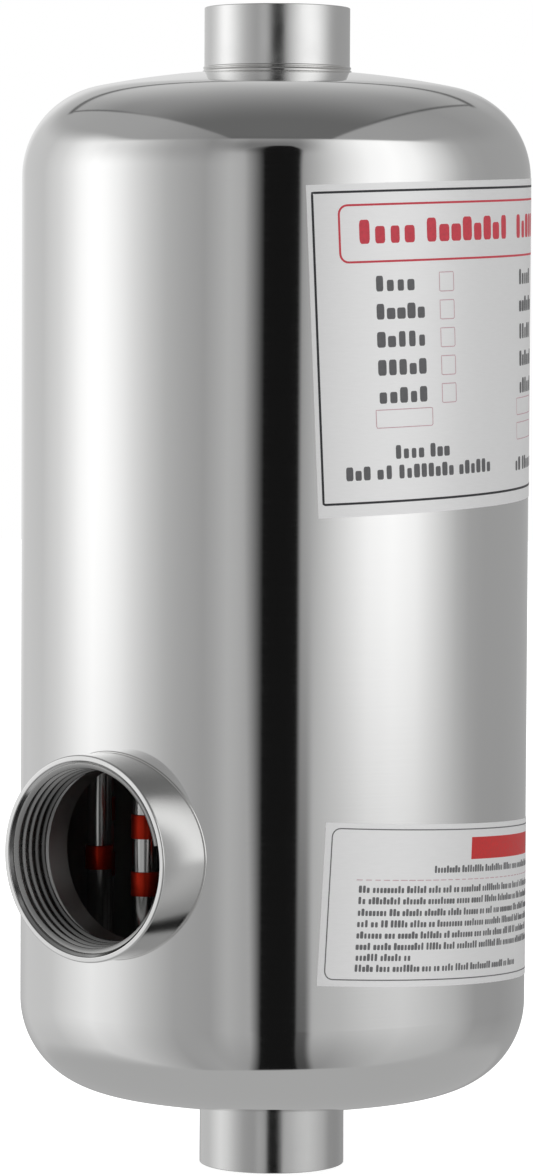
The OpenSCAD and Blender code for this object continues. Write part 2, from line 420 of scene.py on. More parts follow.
def makeBarrel(size):
    across, between = size["patchSteps"], size["sideSteps"]
    half = size["patchHalf"] / shellRadius
    turns = evenly(-half, half, across) + evenly(half, math.pi - half, between)
    turns += [t + math.pi for t in turns]
    low, high = barrelLow.z, barrelHigh.z
    ports = ((0, lowerPortHeight), (across + between, upperPortHeight))
    heights, patchRows = [], []
    at = low
    for column, height in ports:
        heights += evenly(at, height - size["patchHalf"], size["bandSteps"])
        patchRows.append(len(heights))
        heights += evenly(height - size["patchHalf"], height + size["patchHalf"], across)
        at = height + size["patchHalf"]
    heights += evenly(at, high, size["bandSteps"]) + [high]
    verts, faces, normals, slots, known = [], [], [], [], {}
    columns = len(turns)

    def vertex(key, radius, turn, height):
        if key not in known:
            known[key] = len(verts)
            verts.append((radius * math.sin(turn), -radius * math.cos(turn), height))
        return known[key]

    def addFace(corners, slot, normalOf):
        faces.append(corners)
        normals.extend(normalOf(verts[c]) for c in corners)
        slots.append(slot)

    def gridVertex(layer, radius, column, row):
        column %= columns
        return vertex((layer, column, row), radius, turns[column], heights[row])

    def inPatch(column, row):
        return any(c <= column < c + across and r <= row < r + across for (c, h), r in zip(ports, patchRows))

    layers = ((0, shellRadius, 1), (1, shellRadius - size["wall"], -1))
    for layer, radius, side in layers:
        def outward(p, side=side):
            return Vector((p[0], p[1], 0)).normalized() * side

        def addWall(corners):
            addFace(corners if side == 1 else corners[::-1], layer, outward)

        for row in range(len(heights) - 1):
            for column in range(columns):
                if not inPatch(column, row):
                    around = ((column, row), (column + 1, row), (column + 1, row + 1), (column, row + 1))
                    addWall([gridVertex(layer, radius, c, r) for c, r in around])
        for port, ((firstColumn, height), firstRow) in enumerate(zip(ports, patchRows)):
            facing = port * math.pi
            steps = range(across)
            border = [(k, 0) for k in steps] + [(across, k) for k in steps]
            border += [(across - k, across) for k in steps] + [(0, across - k) for k in steps]

            def patchVertex(ring, k):
                k %= len(border)
                column, row = firstColumn + border[k][0], firstRow + border[k][1]
                if ring == size["patchRings"]:
                    return gridVertex(layer, radius, column, row)
                outerTurn = -half + 2 * half * border[k][0] / across
                outerRise = heights[row] - height
                angle = math.atan2(outerRise, shellRadius * outerTurn)
                innerTurn = math.asin(size["holeRadius"] * math.cos(angle) / radius)
                innerRise = size["holeRadius"] * math.sin(angle)
                share = ring / size["patchRings"]
                turn = facing + innerTurn + (outerTurn - innerTurn) * share
                rise = height + innerRise + (outerRise - innerRise) * share
                return vertex((layer, port, ring, k), radius, turn, rise)

            for ring in range(size["patchRings"]):
                for k in range(len(border)):
                    around = ((ring, k), (ring + 1, k), (ring + 1, k + 1), (ring, k + 1))
                    addWall([patchVertex(*corner) for corner in around])

    # the cut edges of the two holes and of both ends
    for port, (column, height) in enumerate(ports):
        def towardsAxis(p, height=height):
            return Vector((-p[0], 0, height - p[2])).normalized()

        count = 4 * across
        for k in range(count):
            j = (k + 1) % count
            corners = [known[layer, port, 0, step] for layer, step in ((0, k), (0, j), (1, j), (1, k))]
            addFace(corners, 1, towardsAxis)
    lastRow = len(heights) - 1
    for column in range(columns):
        after = (column + 1) % columns
        for row, up in ((0, -1), (lastRow, 1)):
            around = ((0, column), (1, column), (1, after), (0, after))
            corners = [known[layer, c, row] for layer, c in around]
            addFace(corners if up < 0 else corners[::-1], 1, lambda p, up=up: Vector((0, 0, up)))
    return meshPiece("barrel_shell", verts, faces, normals, slots, [polished, insideWall])


fit(makeBarrel(barrelSize), "polished_shell", "barrel")
print("barrel made")

# dished heads: a crown that turns into the barrel through a knuckle
headSize = {
    "crownRadius": 250 * mm, "knuckleRadius": 25 * mm, "wall": shellWall, "holeRadius": 20.05 * mm,
    "crownSteps": 18, "knuckleSteps": 36, "insideCrownSteps": 8, "insideKnuckleSteps": 16, "segments": 240,
}


def headRuns(size):
    crown, knuckle, wall, hole = size["crownRadius"], size["knuckleRadius"], size["wall"], size["holeRadius"]
    knuckleCentre = shellRadius - knuckle
    meet = math.degrees(math.acos(knuckleCentre / (crown - knuckle)))
    crownCentre = -(crown - knuckle) * math.sin(math.radians(meet))

    def holeAngle(radius):
        return math.degrees(math.acos(hole / radius))

    def holeEdge(radius):
        return (hole, crownCentre + math.sqrt(radius ** 2 - hole ** 2))

    inner = crown - wall
    return [
        arcRun((knuckleCentre, 0), knuckle, 0, meet, size["knuckleSteps"]),
        arcRun((0, crownCentre), crown, meet, holeAngle(crown), size["crownSteps"]),
        lineRun(holeEdge(crown), holeEdge(inner), 1),
        arcRun((0, crownCentre), inner, holeAngle(inner), meet, size["insideCrownSteps"], 1),
        arcRun((knuckleCentre, 0), knuckle - wall, meet, 0, size["insideKnuckleSteps"], 1),
        lineRun((shellRadius - wall, 0), (shellRadius, 0), 1),
    ]


upsideDown = Matrix.Rotation(math.pi, 4, "X")
topPlace = Matrix.Translation((0, 0, barrelHigh.z))
bottomPlace = Matrix.Translation((0, 0, barrelLow.z)) @ upsideDown
for name, place in (("top", topPlace), ("bottom", bottomPlace)):
    runs, segments = headRuns(headSize), headSize["segments"]
    head = lathe(name + "_dished_head", runs, segments, place, [polished, insideWall])
    fit(head, "polished_shell", name + "_head")
print("heads made")

# sockets: turned bodies with a rounded rim, a bevel, a thread's root that narrows inwards and a plain neck
sideSocketSize = {
    "outside": sideSocketRadius, "length": portFace - portInnerEnd, "edge": 0.5 * mm,
    "lip": 0.3 * mm, "mouth": 25.9 * mm, "root": 25.3 * mm, "deepRoot": 23.95 * mm, "neck": 23.4 * mm,
    "neckLength": 8.6 * mm, "innerBevel": 1.0 * mm, "segments": 192, "edgeSteps": 5, "lipSteps": 4,
}
topSocketLow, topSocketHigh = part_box("top_socket")
endSocketSize = {
    "outside": topSocketHigh.x, "length": topSocketHigh.z - topSocketLow.z, "edge": 0.3 * mm,
    "lip": 0.3 * mm, "mouth": 17.5 * mm, "root": 17.0 * mm, "deepRoot": 16.4 * mm, "neck": 15.6 * mm,
    "neckLength": 5 * mm, "innerBevel": 0.5 * mm, "segments": 160, "edgeSteps": 5, "lipSteps": 4,
}


def socketRuns(size):
    outside, length, edge, mouth, lip = (size[k] for k in ("outside", "length", "edge", "mouth", "lip"))
    root, deepRoot, neck, bevel = (size[k] for k in ("root", "deepRoot", "neck", "innerBevel"))
    bevelEnd = length - lip - (mouth - root)
    rootEnd = size["neckLength"] + deepRoot - neck
    return [
        lineRun((outside, 0), (outside, length - edge)),
        arcRun((outside - edge, length - edge), edge, 0, 90, size["edgeSteps"]),
        lineRun((outside - edge, length), (mouth + lip, length)),
        arcRun((mouth + lip, length - lip), lip, 90, 180, size["lipSteps"]),
        lineRun((mouth, length - lip), (root, bevelEnd)),
        lineRun((root, bevelEnd), (deepRoot, rootEnd), 1),
        lineRun((deepRoot, rootEnd), (neck, size["neckLength"]), 2),
        lineRun((neck, size["neckLength"]), (neck, bevel), 2),
        lineRun((neck, bevel), (neck + bevel, 0)),
        lineRun((neck + bevel, 0), (outside, 0)),
    ]


# a thread's ridge: a rounded crest that winds down the bore and fades at both ends
threadSize = {
    "Deep Radius": sideSocketSize["deepRoot"], "Mouth Radius": sideSocketSize["root"],
    "Pitch": 2.309 * mm, "Turns": 4.8, "Turn Steps": 96, "Runout": 0.6, "Thinnest": 0.04,
    "Ridge Height": 1.25 * mm, "Crest": 0.5 * mm, "Round": 0.22 * mm, "Sunk": 0.15 * mm, "Foot Share": 0.88,
}
threadSetBack = 0.9 * mm  # from the face to the thread's outer end
threadTurn = Matrix.Rotation(math.radians(-60), 4, "Z")


def makeThreadTree():
    tree, given = newTree("windingThread", threadSize)
    drop = times(tree, given["Pitch"], given["Turns"])
    path = outOf(tree, "GeometryNodeCurveSpiral", {
        "Resolution": given["Turn Steps"], "Rotations": given["Turns"], "Height": drop,
        "Start Radius": given["Deep Radius"], "End Radius": given["Mouth Radius"]})
    along = times(tree, addNode(tree, "GeometryNodeSplineParameter").outputs["Factor"], given["Turns"])
    left = minus(tree, given["Turns"], along)
    ends = divided(tree, calc(tree, "MINIMUM", along, left), given["Runout"])
    swell = calc(tree, "MAXIMUM", calc(tree, "MINIMUM", ends, 1.0), given["Thinnest"])
    faded = outOf(tree, "GeometryNodeSetCurveRadius", {0: path, "Radius": swell})
    tall = plus(tree, given["Ridge Height"], given["Sunk"])
    foot = times(tree, given["Pitch"], given["Foot Share"])
    profile = outOf(tree, "GeometryNodeCurvePrimitiveQuadrilateral", {
        "Height": tall, "Bottom Width": foot, "Top Width": given["Crest"], "Offset": 0.0}, mode="TRAPEZOID")
    smooth = roundCorners(tree, profile, given["Round"])
    lift = minus(tree, divided(tree, tall, 2.0), given["Sunk"])
    seated = shifted(tree, smooth, vectorOf(tree, 0.0, lift))
    turned = outOf(tree, "GeometryNodeTransform", {0: seated, "Rotation": (0, 0, -math.pi / 2)})
    return endTree(tree, sweep(tree, faded, turned, True), given, 60)


lowerSidePlace = Matrix.Translation(lowerPortCentre) @ Matrix.Rotation(math.pi / 2, 4, "X")
upperSidePlace = Matrix.Translation(upperPortCentre) @ Matrix.Rotation(-math.pi / 2, 4, "X")
sideStart = Matrix.Translation((0, 0, portInnerEnd))
lowerStart, upperStart = lowerSidePlace @ sideStart, upperSidePlace @ sideStart
topStart = Matrix.Translation((0, 0, topSocketLow.z))
bottomStart = Matrix.Translation((0, 0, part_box("bottom_socket")[1].z)) @ upsideDown
threadTree = makeThreadTree()
endThreadSize = {
    **threadSize, "Turns": 5.5,
    "Deep Radius": endSocketSize["deepRoot"], "Mouth Radius": endSocketSize["root"],
}
sockets = (
    ("lower_side_socket", sideSocketSize, threadSize, lowerStart, lowerFinishes),
    ("upper_side_socket", sideSocketSize, threadSize, upperStart, upperFinishes),
    ("top_socket", endSocketSize, endThreadSize, topStart, (topTurned, endThread, endThread)),
    ("bottom_socket", endSocketSize, endThreadSize, bottomStart, (endTurned, endThread, endThread)),
)
for name, size, thread, place, finishes in sockets:
    body = lathe(name + "_body", socketRuns(size), size["segments"], place, finishes)
    fit(body, "socket_steel", name)
    start = Matrix.Translation((0, 0, size["length"] - threadSetBack - thread["Turns"] * thread["Pitch"]))
    ridge = growPiece(name + "_thread", threadTree, thread, finishes[1], place @ start @ threadTurn)
    fit(ridge, "socket_steel")
print("sockets and threads made")

# weld beads: a small rope of metal laid round each socket where it meets the shell
weldSize = {
    "Path Radius": sideSocketRadius, "Shell Radius": shellRadius, "Base": 0.0, "Steps": 240,
    "Bead": 0.4 * mm, "Bead Steps": 12, "Ripple": 0.03, "Ripple Scale": 700.0,
}
crownRise = math.sqrt(headSize["crownRadius"] ** 2 - topSocketHigh.x ** 2)
knuckleOut = shellRadius - headSize["knuckleRadius"]
crownDrop = math.sqrt((headSize["crownRadius"] - headSize["knuckleRadius"]) ** 2 - knuckleOut ** 2)


def makeWeldTree():
    tree, given = newTree("weldBead", weldSize)
    path = circlePath(tree, given["Path Radius"], given["Steps"])
    across = outOf(tree, "ShaderNodeSeparateXYZ", {0: outOf(tree, "GeometryNodeInputPosition")})
    left = minus(tree, calc(tree, "POWER", given["Shell Radius"], 2.0), times(tree, across, across))
    rise = calc(tree, "SQRT", calc(tree, "MAXIMUM", left, 0.0))
    lift = vectorOf(tree, z=plus(tree, rise, given["Base"]))
    lifted = outOf(tree, "GeometryNodeSetPosition", {0: path, "Offset": lift})
    # the noise strays about a quarter either side of a half
    wave = outOf(tree, "ShaderNodeTexNoise", {"Scale": given["Ripple Scale"], "Detail": 1.0})
    swing = times(tree, minus(tree, wave, 0.5), times(tree, given["Ripple"], 4.0))
    uneven = outOf(tree, "GeometryNodeSetCurveRadius", {0: lifted, "Radius": plus(tree, swing, 1.0)})
    bead = circlePath(tree, given["Bead"], given["Bead Steps"])
    return endTree(tree, sweep(tree, uneven, bead), given, 80)


weldTree = makeWeldTree()
endWeldSize = {
    **weldSize, "Path Radius": topSocketHigh.x - 0.3 * mm, "Shell Radius": 0.0,
    "Base": crownRise - crownDrop, "Bead": 0.9 * mm, "Ripple": 0.015,
}
upperBeadSize = {
    **endWeldSize, "Path Radius": topSocketHigh.x, "Base": endWeldSize["Base"] + 1.3 * mm, "Bead": 0.35 * mm,
}
welds = (
    ("lower_side_weld", lowerSidePlace, weldSize, weldSteel),
    ("upper_side_weld", upperSidePlace, weldSize, weldSteel),
    ("top_socket_weld", topPlace, endWeldSize, weldSteel),
    ("bottom_socket_weld", bottomPlace, endWeldSize, shadowLineWeld),
)
for name, place, size, finish in welds:
    fit(growPiece(name + "_bead", weldTree, size, finish, place), "weld_steel", name)
fit(growPiece("top_socket_weld_upper_bead", weldTree, upperBeadSize, weldSteel, topPlace), "weld_steel")
print("welds made")

# tubes: one rule for the centre, the inner ring and the outer ring
tubeLow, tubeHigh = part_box("centre_tube")


def centreOf(nodeName):
    low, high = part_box(nodeName)
    return (low + high) / 2


firstInner, firstOuter = centreOf("inner_tube_1"), centreOf("outer_tube_1")
tubeRadius = tubeHigh.x
bundle = {
    "Inner Count": 6, "Inner Ring": firstInner.xy.length, "Outer Count": 12,
    "Outer Ring": firstOuter.xy.length, "Turn": math.atan2(firstOuter.y, firstOuter.x),
}
tubeSize = {
    **bundle, "Tube Radius": tubeRadius, "Tube Wall": 0.5 * mm, "Tube Length": tubeHigh.z - tubeLow.z,
    "Edge": 0.15 * mm, "Middle": (tubeLow.z + tubeHigh.z) / 2,
}
roundSteps = 48  # round a tube or a sleeve


def ringPoints(tree, count, radius, turn):
    ring = outOf(tree, "GeometryNodeMeshCircle", {"Vertices": count, "Radius": radius})
    return outOf(tree, "GeometryNodeTransform", {0: ring, "Rotation": vectorOf(tree, z=turn)})


def turnedRing(tree, radius, wall, height, edge):
    # a short or long tube: its wall's section swept round a circle
    path = circlePath(tree, minus(tree, radius, times(tree, wall, 0.5)), roundSteps)
    section = roundCorners(tree, rectangle(tree, wall, height), edge, 2)
    return sweep(tree, path, section)


def makeTubeTree():
    tree, given = newTree("tubeBundle", tubeSize)
    tube = turnedRing(tree, given["Tube Radius"], given["Tube Wall"], given["Tube Length"], given["Edge"])
    middle = outOf(tree, "GeometryNodePoints", {"Count": 1})
    inner = ringPoints(tree, given["Inner Count"], given["Inner Ring"], given["Turn"])
    outer = ringPoints(tree, given["Outer Count"], given["Outer Ring"], given["Turn"])
    join = tree.nodes.new("GeometryNodeJoinGeometry")
    for points in (middle, inner, outer):
        put = outOf(tree, "GeometryNodeInstanceOnPoints", {"Points": points, "Instance": tube})
        tree.links.new(put, join.inputs[0])
    return endTree(tree, shifted(tree, join.outputs[0], vectorOf(tree, z=given["Middle"])), given)


tubeNodes = ["centre_tube"]
tubeNodes += [f"inner_tube_{i + 1}" for i in range(bundle["Inner Count"])]
tubeNodes += [f"outer_tube_{i + 1}" for i in range(bundle["Outer Count"])]
fit(growPiece("tube_bundle", makeTubeTree(), tubeSize, tubeSteel), "tube_steel", *tubeNodes)

# red sleeves on the outer tubes by each port: two on every other tube, one on those between
sleeveLow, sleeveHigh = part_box("lower_spacer_bands")
sleeveHeight = 6.5 * mm
sleeveSize = {
    "Sleeve Radius": tubeRadius + 0.45 * mm, "Sleeve Wall": 0.4 * mm, "Sleeve Height": sleeveHeight,
    "Edge": 0.18 * mm, "Pair Spacing": sleeveHigh.z - sleeveLow.z - sleeveHeight, "Single Drop": 3 * mm,
    "Lower": (sleeveLow.z + sleeveHigh.z) / 2, "Upper": centreOf("upper_spacer_bands").z,
    "Outer Count": bundle["Outer Count"], "Outer Ring": bundle["Outer Ring"], "Turn": bundle["Turn"],
}


def makeSleeveTree():
    tree, given = newTree("redSleeves", sleeveSize)
    sleeve = turnedRing(
        tree, given["Sleeve Radius"], given["Sleeve Wall"], given["Sleeve Height"], given["Edge"])
    points = ringPoints(tree, given["Outer Count"], given["Outer Ring"], given["Turn"])
    odd = calc(tree, "MODULO", outOf(tree, "GeometryNodeInputIndex"), 2.0)
    even = minus(tree, 1.0, odd)
    stored = outOf(tree, "GeometryNodeStoreNamedAttribute", {
        "Geometry": points, "Name": "paired", "Value": even}, data_type="FLOAT", domain="POINT")
    both = addNode(tree, "GeometryNodeDuplicateElements", {
        "Geometry": stored, "Amount": plus(tree, even, 1.0)}, domain="POINT")
    paired = outOf(tree, "GeometryNodeInputNamedAttribute", {"Name": "paired"}, data_type="FLOAT")
    step = minus(tree, both.outputs["Duplicate Index"], 0.5)
    pairedOffset = times(tree, step, given["Pair Spacing"], paired)
    drop = times(tree, minus(tree, 1.0, paired), given["Single Drop"])
    offset = vectorOf(tree, z=minus(tree, pairedOffset, drop))
    placed = outOf(tree, "GeometryNodeSetPosition", {0: both.outputs[0], "Offset": offset})
    tier = outOf(tree, "GeometryNodeInstanceOnPoints", {"Points": placed, "Instance": sleeve})
    join = tree.nodes.new("GeometryNodeJoinGeometry")
    for height in (given["Lower"], given["Upper"]):
        tree.links.new(shifted(tree, tier, vectorOf(tree, z=height)), join.inputs[0])
    return endTree(tree, join.outputs[0], given)


sleeves = growPiece("spacer_sleeves", makeSleeveTree(), sleeveSize, sleeveRed)
fit(sleeves, "red_band", "lower_spacer_bands", "upper_spacer_bands")
print("tubes and sleeves made")


# tube sheets keep their shape from the frame and get their finish here
def makeSheetSteel():
    material, tree, shader = newMaterial("sheetSteel", (0.6, 0.6, 0.6), 0.3)
    facing = noiseOf(tree, placeOn(tree, scale=(1500, 60, 60)), 1.0, 3.0)
    tintBy(tree, shader, facing, (0.56, 0.56, 0.555), (0.64, 0.64, 0.635))
    roughenBy(tree, shader, facing, 0.22, 0.38)
    bumpBy(tree, shader, facing, 0.000006)
    return material


sheetSteel = makeSheetSteel()
for name in ("upper_tube_sheet", "lower_tube_sheet"):
    nodes[name].data.materials.clear()
    nodes[name].data.materials.append(sheetSteel)


# labels: flat pieces in the label's own plane, then bent round the shell
def bendOnShell(tree, geometry, given):
    at = outOf(tree, "GeometryNodeInputPosition")
    tilted = outOf(tree, "ShaderNodeVectorRotate", {
        "Vector": at, "Angle": given["Tilt"]}, rotation_type="Z_AXIS")
    split = addNode(tree, "ShaderNodeSeparateXYZ", {0: tilted}).outputs
    angle = divided(tree, split[0], given["Shell Radius"])
    radius = plus(tree, split[2], given["Lift"], given["Shell Radius"])
    bent = vectorOf(
        tree, times(tree, radius, calc(tree, "COSINE", angle)),
        times(tree, radius, calc(tree, "SINE", angle)), plus(tree, split[1], given["Centre Height"]))
    return outOf(tree, "GeometryNodeSetPosition", {0: geometry, "Position": bent})


wrapSize = {"Tilt": 0.0, "Shell Radius": shellRadius, "Lift": 0.0, "Centre Height": 0.0}
filmThick, filmGap = 0.1 * mm, 0.01 * mm
inkThick = 0.04 * mm
filmSize = {
    "Width": 0.0, "Height": 0.0, "Thickness": filmThick, "Columns": 97, "Rows": 13, **wrapSize,
}


def makeFilmTree():
    tree, given = newTree("labelFilm", filmSize)
    size = vectorOf(tree, given["Width"], given["Height"], given["Thickness"])
    slab = outOf(tree, "GeometryNodeMeshCube", {
        "Size": size, "Vertices X": given["Columns"], "Vertices Y": given["Rows"], "Vertices Z": 2})
    return endTree(tree, bendOnShell(tree, slab, given), given, 60)


# printed lines: each closed outline has a plain width and small round corners
outlineSize = {"Line": 0.5 * mm, "Ink": inkThick, "Rounding": 0.0, "Step": 0.7 * mm, **wrapSize}


def makeOutlineTree():
    tree, given = newTree("printedOutline", outlineSize, onCarrier=True)
    path = outOf(tree, "GeometryNodeMeshToCurve", {0: given["Carrier"]})
    rounded = roundCorners(tree, path, given["Rounding"], 6)
    fine = outOf(tree, "GeometryNodeResampleCurve", {0: rounded, "Length": given["Step"]}, mode="LENGTH")
    line = sweep(tree, fine, rectangle(tree, given["Line"], given["Ink"]), True)
    return endTree(tree, bendOnShell(tree, line, given), given, 60)


# printed words: rounded blocks of uneven width stand on a word's baseline, in place of letters
wordSize = {
    "Letter Pitch": 1.0 * mm, "Narrowest": 0.6, "Widest": 0.86, "Low Share": 0.65, "Low Height": 0.72,
    "Corner": 0.2, "Ink": inkThick, "Width Seed": 1, "Height Seed": 7, **wrapSize,
}


def makeWordTree():
    tree, given = newTree("printedWords", wordSize, onCarrier=True)

    def randomShare(inputs):
        return addNode(tree, "FunctionNodeRandomValue", inputs, data_type="FLOAT").outputs[1]

    path = outOf(tree, "GeometryNodeMeshToCurve", {0: given["Carrier"]})
    tall = outOf(tree, "GeometryNodeInputNamedAttribute", {"Name": "tall"}, data_type="FLOAT")
    pitch = given["Letter Pitch"]
    points = outOf(tree, "GeometryNodeResampleCurve", {0: path, "Length": pitch}, mode="LENGTH")
    width = randomShare({2: given["Narrowest"], 3: given["Widest"], "Seed": given["Width Seed"]})
    chance = randomShare({"Seed": given["Height Seed"]})
    high = calc(tree, "GREATER_THAN", chance, given["Low Share"])
    height = outOf(tree, "ShaderNodeMapRange", {0: high, 3: given["Low Height"], 4: 1.0})
    size = vectorOf(tree, times(tree, width, pitch), times(tree, height, tall), given["Ink"])
    sink = times(tree, minus(tree, height, 1.0), tall, 0.5)
    seated = outOf(tree, "GeometryNodeSetPosition", {0: points, "Offset": vectorOf(tree, 0.0, sink)})
    section = roundCorners(tree, rectangle(tree, 1.0, 1.0), given["Corner"], 2)
    depth = outOf(tree, "GeometryNodeCurvePrimitiveLine", {"Start": (0, 0, -0.5), "End": (0, 0, 0.5)})
    block = outOf(tree, "GeometryNodeCurveToMesh", {0: depth, 1: section, "Fill Caps": True})
    settings = {"Points": seated, "Instance": block, "Scale": size}
    blocks = outOf(tree, "GeometryNodeInstanceOnPoints", settings)
    real = outOf(tree, "GeometryNodeRealizeInstances", {0: blocks})
    return endTree(tree, bendOnShell(tree, real, given), given, 60)


filmTree, outlineTree, wordTree = makeFilmTree(), makeOutlineTree(), makeWordTree()


def carrierMesh(name, lines, tall=None):
    # corner points of each line as edges; a closed line repeats its first point
    mesh = bpy.data.meshes.new(name)
    verts, edges, heights = [], [], []
    for k, line in enumerate(lines):
        closed = line[0] == line[-1]
        first = len(verts)
        corners = line[:-1] if closed else line
        verts += [(x, y, 0) for x, y in corners]
        edges += [(first + i, first + i + 1) for i in range(len(corners) - 1)]
        if closed:
            edges.append((len(verts) - 1, first))
        heights += [tall[k] if tall else 1.0] * len(corners)
    mesh.from_pydata(verts, edges, [])
    mesh.attributes.new("tall", "FLOAT", "POINT").data.foreach_set("value", heights)
    return mesh


def boxLine(label, left, top, right, bottom):
    # a box given in millimetres from the top left corner becomes a closed line measured from the middle
    x0, x1 = left * mm - label["width"] / 2, right * mm - label["width"] / 2
    y0, y1 = label["height"] / 2 - top * mm, label["height"] / 2 - bottom * mm
    return [(x0, y0), (x1, y0), (x1, y1), (x0, y1), (x0, y0)]


def wordLine(label, left, letters, pitch, middle):
    # a word given in the same way becomes a line along the middles of its letters
    start = (left + pitch / 2) * mm - label["width"] / 2
    y = label["height"] / 2 - middle * mm
    return [(start, y), (start + (letters - 0.9) * pitch * mm, y)]


def rowOfWords(label, left, right, pitch, middle, draw):
    # fills a row with words of two to nine letters, three quarters of a letter apart
    words = []
    while left + 2 * pitch < right:
        letters = min(draw.randint(2, 9), int((right - left) / pitch))
        words.append(wordLine(label, left, letters, pitch, middle))
        left += (letters + 0.75) * pitch
    return words


def wrapped(label, sizes, lift):
    return {**sizes, "Tilt": math.radians(label["tilt"]), "Centre Height": label["middle"], "Lift": lift}


def printOn(label, name, tree, sizes, ink, mesh):
    settings = wrapped(label, sizes, filmThick + inkThick / 2)
    return fit(growPiece(name, tree, settings, ink, base=mesh), "label_film")


# places and pitches are millimetres from the label's top left corner, and tilt is in degrees
mainLabel = {
    "name": "main_label", "middle": centreOf("main_label").z,
    "width": 108 * mm, "height": 87 * mm, "tilt": 2.5,
    "frame": (1.5, 2.1, 106.5, 83.5), "frameLine": 0.6 * mm,
    "headBox": (8.4, 5.6, 99.6, 20.5), "headLine": 0.55 * mm, "headRounding": 2.3 * mm,
    "headWords": ((13.1, 4), (33.3, 8), (73.7, 5)), "headPitch": 4.25, "headMiddle": 12.65, "headTall": 6.3,
    "rowLetters": (4, 5, 5, 5, 5), "rowPitch": 7.35, "rowMiddle": 26.3, "rowTall": 4.1,
    "letterPitch": 3.0, "rowLeft": 17.5,
    "sideLeft": 76.0, "sidePitch": 2.6,
    "tickBox": (37.6, 23.9, 42.6, 28.9), "wideBox": (16.8, 59.4, 34.1, 64.1),
    "sideBoxes": ((73.6, 59.0, 90.6, 63.5), (73.6, 65.6, 90.6, 70.1)), "boxLine": 0.22 * mm,
    "footRows": ((21.8, 44.4, 70.6), (7.7, 59.5, 75.8), (72.0, 98.0, 76.7)),
    "footTall": 3.6, "footPitch": 2.3, "seed": 4,
}
noticeLabel = {
    "name": "notice_label", "middle": centreOf("notice_label").z,
    "width": 101.5 * mm, "height": 43.2 * mm, "tilt": -3.0,
    "frame": (1.9, 1.5, 99.6, 41.4), "frameLine": 0.3 * mm, "frameRounding": 2.2 * mm,
    "headBlock": (46.7, 88.0, 6.65), "headBlockTall": 5.9 * mm, "headRow": (32.8, 90.0, 12.05),
    "rule": (8.8, 34, 2.6, 14.9), "ruleTall": 0.2,
    "rows": ((9.9, 92.0, 17.35), (9.9, 90.0, 20.35), (9.9, 93.0, 23.45), (9.9, 91.0, 26.45),
             (9.9, 88.0, 29.45), (9.9, 92.0, 32.45), (10.0, 29.0, 35.35), (9.9, 74.1, 38.25)),
    "rowTall": 1.9, "letterPitch": 1.05, "seed": 11,
}


def makeFilmPiece(label):
    sizes = {**filmSize, "Width": label["width"], "Height": label["height"]}
    settings = wrapped(label, sizes, filmThick / 2 + filmGap)
    fit(growPiece(label["name"] + "_film", filmTree, settings, film), "label_film", label["name"])


def printWords(label, part, words, tall, pitch, ink, **changes):
    name = label["name"] + "_" + part
    mesh = carrierMesh(name + "_lines", words, [tall * mm] * len(words))
    printOn(label, name, wordTree, {**wordSize, "Letter Pitch": pitch * mm, **changes}, ink, mesh)


def printOutlines(label, part, lines, ink, **changes):
    name = label["name"] + "_" + part
    printOn(label, name, outlineTree, {**outlineSize, **changes}, ink, carrierMesh(name + "_lines", lines))


def makeMainPrint(label):
    draw = random.Random(label["seed"])
    printOutlines(label, "frame", [boxLine(label, *label["frame"])], blackInk, Line=label["frameLine"])
    printOutlines(label, "head_box", [boxLine(label, *label["headBox"])], redInk,
                  Line=label["headLine"], Rounding=label["headRounding"])
    pitch, middle = label["headPitch"], label["headMiddle"]
    words = [wordLine(label, left, letters, pitch, middle) for left, letters in label["headWords"]]
    printWords(label, "head", words, label["headTall"], pitch, redInk)
    boxes = [boxLine(label, *box) for box in (label["wideBox"], *label["sideBoxes"])]
    words, sideWords = [], []
    x0, y0, x1, y1 = label["tickBox"]
    for k, letters in enumerate(label["rowLetters"]):
        drop = k * label["rowPitch"]
        middle = label["rowMiddle"] + drop
        words.append(wordLine(label, label["rowLeft"], letters, label["letterPitch"], middle))
        sideWords.append(wordLine(label, label["sideLeft"], draw.randint(5, 6), label["sidePitch"], middle))
        boxes.append(boxLine(label, x0, y0 + drop, x1, y1 + drop))
    printWords(label, "rows", words, label["rowTall"], label["letterPitch"], darkInk)
    printWords(label, "side_rows", sideWords, label["rowTall"], label["sidePitch"], darkInk)
    printOutlines(label, "boxes", boxes, pinkInk, Line=label["boxLine"])
    words = []
    for left, right, middle in label["footRows"]:
        words += rowOfWords(label, left, right, label["footPitch"], middle, draw)
    printWords(label, "foot", words, label["footTall"], label["footPitch"], darkInk)


def makeNoticePrint(label):
    draw = random.Random(label["seed"])
    printOutlines(label, "frame", [boxLine(label, *label["frame"])], greyInk,
                  Line=label["frameLine"], Rounding=label["frameRounding"])
    left, right, middle = label["headBlock"]
    block = [(x * mm - label["width"] / 2, label["height"] / 2 - middle * mm) for x in (left, right)]
    printOutlines(label, "head", [block], deepRedInk, Line=label["headBlockTall"])
    words = []
    for left, right, middle in (label["headRow"], *label["rows"]):
        words += rowOfWords(label, left, right, label["letterPitch"], middle, draw)
    printWords(label, "rows", words, label["rowTall"], label["letterPitch"], greyInk)
    left, dashes, pitch, middle = label["rule"]
    dashLine = [wordLine(label, left, dashes, pitch, middle)]
    printWords(label, "rule", dashLine, label["ruleTall"], pitch, pinkInk, **{"Low Share": 0.0})


for label in (mainLabel, noticeLabel):
    makeFilmPiece(label)
makeMainPrint(mainLabel)
makeNoticePrint(noticeLabel)
print("labels made")

